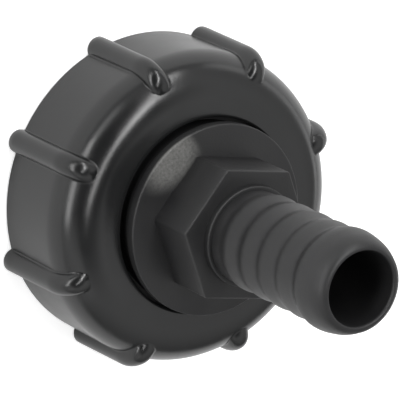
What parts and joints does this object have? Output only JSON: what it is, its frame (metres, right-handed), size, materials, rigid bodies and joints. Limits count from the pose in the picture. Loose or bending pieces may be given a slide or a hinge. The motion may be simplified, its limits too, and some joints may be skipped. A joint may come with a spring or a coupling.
{
  "type": "ibc tap adapter",
  "caption": "Black plastic IBC tap adapter: a ribbed union nut with a coarse internal thread turns on a barbed hose tail with a spanner hexagon and a through bore.",
  "frame": {"origin": "centre of the nut's open rim, on the common axis, which is the plane the adapter stands on", "axes": "+Z along the common axis from the nut's open rim to the tip of the hose tail; +X through the middle of one grip rib and one corner of the hexagon"},
  "size_m": [0.0774, 0.0774, 0.0855],
  "materials": {
    "nut_plastic": "moulded black polypropylene, satin",
    "tail_plastic": "moulded black polypropylene, satin",
    "washer_rubber": "matte black EPDM"
  },
  "bodies": {
    "nut": {"union_nut": "nut_plastic", "sealing_washer": "washer_rubber"},
    "tail": {"hose_tail": "tail_plastic"}
  },
  "joints": [
    {"name": "tail_swivel", "type": "hinge", "parent": "nut", "child": "tail", "pos_m": [0, 0, 0.0208], "axis": [0, 0, 1], "continuous": true}
  ]
}
